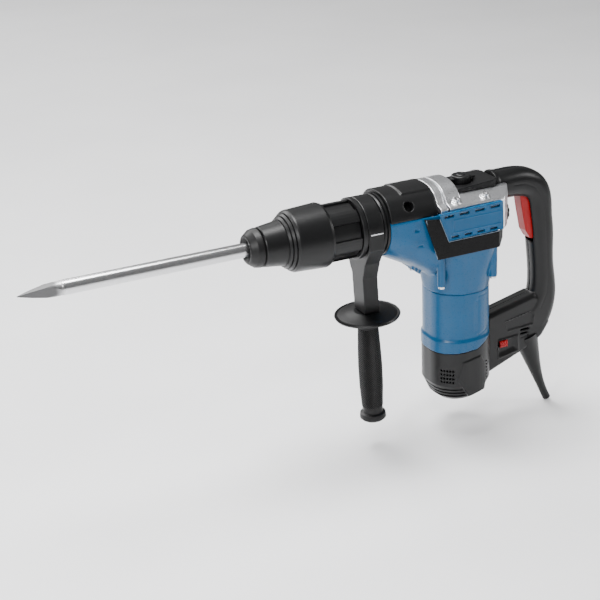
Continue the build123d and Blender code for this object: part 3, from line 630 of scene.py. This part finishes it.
class HAMMER_OT_rear_handle(bpy.types.Operator):
    """Build both halves of the rear handle with their soft edges"""
    bl_idname = "hammer.rear_handle"
    bl_label = "Rear handle"

    def execute(self, context):
        low, high = low_high("lock_slider")

        def slider_path(bm):
            block(bm, (low.x - 4.9, low.y - 2, low.z - 0.7), (high.x + 0.7, -13.2, high.z + 0.7))
        for side, node, clear in ((-1, "handle_shell_left", slider_path), (1, "handle_shell_right", None)):
            housing(node, "black", cut=handle_cuts(side), add=handle_rims(side), rounds=3, clear=clear)
        return {"FINISHED"}


def rounded_square(r, corner, steps=14):
    """Outline of a square with big round corners, about the motor's centre."""
    points = []
    for quarter in range(4):
        cx = (r - corner) * (1 if quarter in (0, 3) else -1)
        cy = (r - corner) * (1 if quarter in (0, 1) else -1)
        for k in range(steps + 1):
            t = math.radians(90 * quarter + 90 * k / steps)
            points.append((cx + corner * math.cos(t), cy + corner * math.sin(t)))
    return points


MOTOR_X = 290.0
CAP_PANEL = [(276, -197.4), (303, -192.6), (310.6, -206), (313.6, -222.6), (309.6, -242),
             (284, -246.4), (269, -221)]
CAP_PANEL_DEPTH = (37.4, 43.3)


def end_cap_panel(bm):
    """Raised cover on each side of the motor end cap, following its barrel."""
    for side in (-1, 1):
        low, high = sorted(side * y for y in CAP_PANEL_DEPTH)
        prism(bm, CAP_PANEL, 1, low, high)


def end_cap_cuts(bm):
    """Slanted slots at the rear edge."""
    for side in (-1, 1):
        for k in range(6):
            t = math.radians(side * 57)
            tilted_slot(bm, (MOTOR_X + 42 * math.cos(t), 42 * math.sin(t), -204.5 - 4.6 * k), 4.6, 1.9, 7.0,
                        side * 57, side * 24)


class HAMMER_OT_motor(bpy.types.Operator):
    """Build the motor barrel and its end cap"""
    bl_idname = "hammer.motor"
    bl_label = "Motor housing"

    def execute(self, context):
        def barrel_lines(bm):
            for side in (-1, 1):
                low, high = sorted((side * 30.0, side * 46.0))
                inner = [(300.2, -110.4), (317.4, -110.4), (317.4, -157.4), (300.2, -162.4)]
                outer = [(298.2, -108.4), (319.4, -108.4), (319.4, -159), (298.2, -165)]
                for k in range(4):
                    j = (k + 1) % 4
                    prism(bm, [outer[k], outer[j], inner[j], inner[k]], 1, low, high)
        piece = cad_copy("motor_housing", "motor_barrel")
        tool = mesh_object("line_tool", barrel_lines)
        core = mesh_object("core_tool", lambda bm: prism(
            bm, [(MOTOR_X + x, y) for x, y in rounded_square(40.3, 34.7)], 2, -175, -100))
        combine(tool, core)
        combine(piece, tool)
        for used in (tool, core):
            bpy.data.objects.remove(used)
        soften(piece, context.scene.hammer_shape.shell_voxel, 3)
        fit_out(piece, "motor_housing", "blue")

        cap = cad_copy("motor_end_cap", "motor_cap")
        panel = mesh_object("panel_tool", end_cap_panel)
        rim = mesh_object("rim_tool", lambda bm: prism(
            bm, [(MOTOR_X + x, y) for x, y in rounded_square(43.3, 37.0)], 2, -252, -186))
        combine(panel, rim, "INTERSECT")
        bm = bmesh.new()
        bm.from_mesh(cap.data)
        bm.from_mesh(panel.data)
        bm.to_mesh(cap.data)
        bm.free()
        for used in (panel, rim):
            bpy.data.objects.remove(used)
        soften(cap, 0.7 * MM, 2, 0.6)
        carve(cap, end_cap_cuts)
        shade(cap, 50)
        fit_out(cap, "motor_end_cap", "black")
        return {"FINISHED"}


class HAMMER_OT_gear_head(bpy.types.Operator):
    """Build the silver gearbox, the black saddle, the blue belly and the plate on top"""
    bl_idname = "hammer.gear_head"
    bl_label = "Gear head"

    def execute(self, context):
        def gearbox_cuts(bm):
            ring_cut(bm, [(251.6, 40.2), (251.2, 60), (254.4, 60), (254.0, 40.2)])

        def belly_cuts(bm):
            for side in (-1, 1):
                low, high = sorted((side * 39.0, side * 50.0))
                prism(bm, [(207, -5.4), (215, -5.0), (215, -3.0), (207, -3.2)], 1, low, high)
                prism(bm, [(211.6, -26.6), (221, -26.0), (221, -23.8), (211.6, -24.2)], 1, low, high)
        housing("gearbox_housing", "casting", cut=gearbox_cuts, rounds=2, keep=0.4, voxel=0.75 * MM)
        housing("gear_cover", "black", rounds=2)
        housing("transmission_housing", "blue", cut=belly_cuts, rounds=3, keep=0.5, voxel=1.0 * MM)
        housing("top_platform", "black", rounds=2, voxel=0.6 * MM)
        return {"FINISHED"}


def ring_cut(bm, outline, sides=96):
    """A closed ring about the tool axis: outline is (x, radius) in millimetres."""
    rings = []
    for k in range(sides):
        t = math.tau * k / sides
        rings.append([bm.verts.new((x * MM, r * math.cos(t) * MM, r * math.sin(t) * MM)) for x, r in outline])
    wrap(bm, rings + rings[:1])


PLATE_EDGE = [(237.4, 13.6), (326.6, 15.9), (328.1, -19.8), (249.6, -21.2)]
PLATE_FRAME = [(256.6, 3.9), (325.4, 3.9), (325.4, -11.9), (256.6, -11.9)]
BAND_EDGE = [(221, 46.4, 8.6), (233.4, 52.2, -41.6), (237, 52.4, -42.6), (322, 52.4, -42.6),
             (329, 48.2, -33.6)]


class HAMMER_OT_side_panels(bpy.types.Operator):
    """Build the blue side plates and the black trim bands, with light grey rods along the bands' edges as a
    painted highlight
    """
    bl_idname = "hammer.side_panels"
    bl_label = "Side plates"

    def execute(self, context):
        for side, name in ((-1, "left"), (1, "right")):
            def plate_bead(bm):
                edge = [(x, side * 51.7, z) for x, z in PLATE_EDGE]
                rod_path(bm, edge + edge[:1], 0.7)
                frame_line = [(x, side * 51.75, z) for x, z in PLATE_FRAME]
                rod_path(bm, frame_line + frame_line[:1], 0.65)

            # thin light grey rods along the trim band's edges, a painted highlight standing in for the light
            # the edges catch
            def painted_highlight_rods(bm):
                rod_path(bm, [(x, side * (y - 0.52), z) for x, y, z in BAND_EDGE], 0.5)
                inner = [(236.6, 52.3, 9.0), (249.5, 52.3, -22.9), (322, 52.3, -22.5), (329, 48.2, -22.5)]
                rod_path(bm, [(x, side * (y - 0.45), z) for x, y, z in inner], 0.45)
            housing("side_cover_" + name, "blue", add=plate_bead, rounds=1, voxel=0.5 * MM, keep=0.6)
            housing("trim_band_" + name, "gloss", rounds=1, voxel=0.5 * MM, keep=0.6)
            painted_highlight = mesh_object("band_painted_highlight_" + name, painted_highlight_rods)
            painted_highlight.data.shade_smooth()
            add_on(painted_highlight, "trim_band_" + name, "painted_highlight")
        return {"FINISHED"}


class HAMMER_OT_side_handle(bpy.types.Operator):
    """Build the side handle's clamp with a painted highlight piece on it, and the studs on its grip"""
    bl_idname = "hammer.side_handle"
    bl_label = "Side handle"

    def execute(self, context):
        shape = context.scene.hammer_shape
        housing("handle_clamp", "black", rounds=3, voxel=0.8 * MM)
        # a thin bright steel piece where the clamp's halves meet: a painted highlight for the light caught by
        # that edge
        painted_glint = mesh_object("clamp_painted_glint", lambda bm: block(bm, (148.6, -38.9, 0.2), (165.4, -38.1, 1.8)))
        bevel = painted_glint.modifiers.new("edge", "BEVEL")
        bevel.width, bevel.segments = 0.25 * MM, 2
        settle(painted_glint)
        add_on(painted_glint, "handle_clamp", "screw")
        lean = (Matrix.Translation((0.157, 0, 0)) @ Matrix.Rotation(math.radians(-1.9), 4, "Y")
                @ Matrix.Translation((-0.157, 0, 0)))
        profile = [(-137, 12.7), (-150, 13.4), (-165, 14.2), (-190, 15.0), (-220, 14.6), (-246, 13.2)]

        def radius_at(z):
            for (z0, r0), (z1, r1) in zip(profile, profile[1:]):
                if z1 <= z <= z0:
                    return r0 + (r1 - r0) * (z0 - z) / (z0 - z1)
            raise RuntimeError("the stud row is off the grip")

        def skin(bm):
            pitch = shape.knurl_pitch / MM
            rows = int((profile[0][0] - profile[-1][0]) / (pitch * 0.5))
            around = int(math.tau * 14 / pitch)
            grid = []
            for i in range(rows + 1):
                z = profile[0][0] - i * (profile[0][0] - profile[-1][0]) / rows
                r = (radius_at(z) - 0.05) * MM
                grid.append([bm.verts.new((0.157 + r * math.cos(t), r * math.sin(t), z * MM))
                             for t in (math.tau * (k + 0.5 * (i % 2)) / around for k in range(around))])
            for a, b in zip(grid, grid[1:]):
                for k in range(around):
                    j = (k + 1) % around
                    bm.faces.new((a[k], b[k], b[j], a[j]))
            bmesh.ops.transform(bm, matrix=lean, verts=bm.verts)
        studs = mesh_object("grip_studs", skin)
        made = grow(studs, stud_tree(), {"Width": shape.knurl_pitch * 0.52, "Height": shape.knurl_height,
                                         "Material": finish_material("rubber")})
        add_on(made, "side_grip", "rubber")
        return {"FINISHED"}


KNOB_RIBS = 28
KNOB_RIB = (1.0, 1.2, 8.6)
KNOB_RIB_RING = 12.5
KNOB_RIB_Z = 35.2


class HAMMER_OT_controls(bpy.types.Operator):
    """Build the knob on top with its ribbed side, the trigger and the slider"""
    bl_idname = "hammer.controls"
    bl_label = "Knob, trigger and slider"

    def execute(self, context):
        low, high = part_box("mode_knob")
        knob = cad_copy("mode_knob", "ribbed_knob")
        soften(knob, 0.45 * MM, 2)
        centre = (low + high) / 2
        grow(knob, rib_tree(), {"Count": KNOB_RIBS, "Ring Radius": KNOB_RIB_RING * MM,
                                "Rib Size": tuple(size * MM for size in KNOB_RIB),
                                "Centre": (centre.x, 0.0, KNOB_RIB_Z * MM),
                                "Material": finish_material("black")})
        shade(knob, 40)
        fit_out(knob, "mode_knob", "black")
        housing("trigger", "red", rounds=3, voxel=0.6 * MM)
        housing("lock_slider", "red", rounds=1, voxel=0.35 * MM)
        housing("speed_dial", "black", rounds=1, voxel=0.4 * MM)
        return {"FINISHED"}


# ---- operators ---------------------------------------------------------------
class HAMMER_OT_inner_parts(bpy.types.Operator):
    """Give every CAD node that stays visible its material"""
    bl_idname = "hammer.inner_parts"
    bl_label = "Finish the CAD parts"

    def execute(self, context):
        for node, obj in frame["nodes"].items():
            dress(obj, SLOT_FINISH[slot_of(node)])
        for node in ("gearbox_screws", "housing_screws", "handle_screws"):
            dress(frame["nodes"][node], "screw")
        dress(frame["nodes"]["chisel"], "chisel")
        return {"FINISHED"}


SPRING_KEEP = 0.3


class HAMMER_OT_sleeve_spring(bpy.types.Operator):
    """Build the spring that shortens as the locking sleeve is pulled back"""
    bl_idname = "hammer.sleeve_spring"
    bl_label = "Sleeve spring"

    def execute(self, context):
        spring = cad_copy("sleeve_spring", "coil_spring")
        thin = spring.modifiers.new("thin", "DECIMATE")
        thin.ratio = SPRING_KEEP
        settle(spring)
        shade(spring, 40)
        fit_out(spring, "sleeve_spring", "steel")
        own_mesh(spring)
        return {"FINISHED"}


FLOOR_GAP = 2.0 * MM
FLOOR_HALF = 6.0


class HAMMER_OT_stage(bpy.types.Operator):
    """Set up the floor, the lights and the camera"""
    bl_idname = "hammer.stage"
    bl_label = "Stage"

    def execute(self, context):
        scene = context.scene
        sizes = scene.hammer_stage
        low, high = CAD_BOX
        floor_z = low[2] - FLOOR_GAP

        def plane(bm):
            bmesh.ops.create_grid(bm, x_segments=2, y_segments=2, size=FLOOR_HALF)
            bmesh.ops.translate(bm, verts=bm.verts, vec=(0, 0, floor_z))
        floor = mesh_object("floor", plane)
        mat, tree, bsdf = node_tree("pale_floor")
        grain = object_noise(tree, 3.0)
        tinted(tree, bsdf, grain, (0.90, 0.90, 0.91), (0.94, 0.94, 0.95))
        bsdf.inputs["Roughness"].default_value = 0.6
        floor.data.materials.append(mat)
        world = bpy.data.worlds.new("studio")
        scene.world = world
        world.use_nodes = True
        back = world.node_tree.nodes["Background"]
        back.inputs["Color"].default_value = (1.0, 1.0, 1.0, 1.0)
        back.inputs["Strength"].default_value = 0.2
        centre = Vector((0.08, 0.0, -0.05))
        for name, place, size, power in (
            ("key_light", (-0.1, 0.25, 1.9), 1.0, sizes.key_power),
            ("left_light", (-1.5, -1.0, 0.9), 0.5, sizes.fill_power),
            ("strip_light", (-0.7, -1.3, 1.5), 0.3, sizes.fill_power * 0.5),
            ("right_light", (1.5, -0.6, 0.7), 0.35, sizes.fill_power * 0.3),
            ("far_light", (-0.4, 3.2, 2.4), 2.4, sizes.key_power * 1.6),
        ):
            data = bpy.data.lights.new(name, "AREA")
            data.size = size
            data.energy = power
            lamp = new_object(name, data)
            lamp.location = place
            lamp.rotation_euler = (centre - Vector(place)).to_track_quat("-Z", "Y").to_euler()
        camera = new_object("camera", bpy.data.cameras.new("camera"))
        camera.data.lens = sizes.lens
        camera.data.sensor_width = 36.0
        camera.data.clip_start = 0.05
        right = Vector((0.89979, -0.43447, -0.03995)).normalized()
        back_dir = Vector((-0.38757, -0.83799, 0.38413)).normalized()
        up = back_dir.cross(right)
        camera.matrix_world = Matrix.Translation((-0.6438, -1.5401, 0.6268)) @ Matrix(
            (right, up, back_dir)).transposed().to_4x4()
        scene.camera = camera
        return {"FINISHED"}


class HAMMER_PT_panel(bpy.types.Panel):
    """Lists the hammer's settings and the steps that build it"""
    bl_idname = "HAMMER_PT_panel"
    bl_label = "Demolition hammer"
    bl_space_type = "VIEW_3D"
    bl_region_type = "UI"
    bl_category = "Hammer"

    def draw(self, context):
        layout = self.layout
        for group in (context.scene.hammer_finish, context.scene.hammer_shape, context.scene.hammer_stage):
            for key in group.bl_rna.properties.keys():
                if key not in ("rna_type", "name"):
                    layout.prop(group, key)
        for operator in OPERATORS:
            layout.operator(operator.bl_idname)


OPERATORS = (
    HAMMER_OT_stage,
    HAMMER_OT_inner_parts,
    HAMMER_OT_gear_head,
    HAMMER_OT_side_panels,
    HAMMER_OT_motor,
    HAMMER_OT_rear_handle,
    HAMMER_OT_side_handle,
    HAMMER_OT_controls,
    HAMMER_OT_sleeve_spring,
)
GROUPS = (HammerFinish, HammerShape, HammerStage)


def register():
    for cls in (*GROUPS, *OPERATORS, HAMMER_PT_panel):
        bpy.utils.register_class(cls)
    bpy.types.Scene.hammer_finish = PointerProperty(type=HammerFinish)
    bpy.types.Scene.hammer_shape = PointerProperty(type=HammerShape)
    bpy.types.Scene.hammer_stage = PointerProperty(type=HammerStage)


def unregister():
    del bpy.types.Scene.hammer_stage
    del bpy.types.Scene.hammer_shape
    del bpy.types.Scene.hammer_finish
    for cls in reversed((*GROUPS, *OPERATORS, HAMMER_PT_panel)):
        bpy.utils.unregister_class(cls)


def main():
    register()
    for operator in OPERATORS:
        group, action = operator.bl_idname.split(".")
        getattr(getattr(bpy.ops, group), action)()


if __name__ == "__main__":
    main()
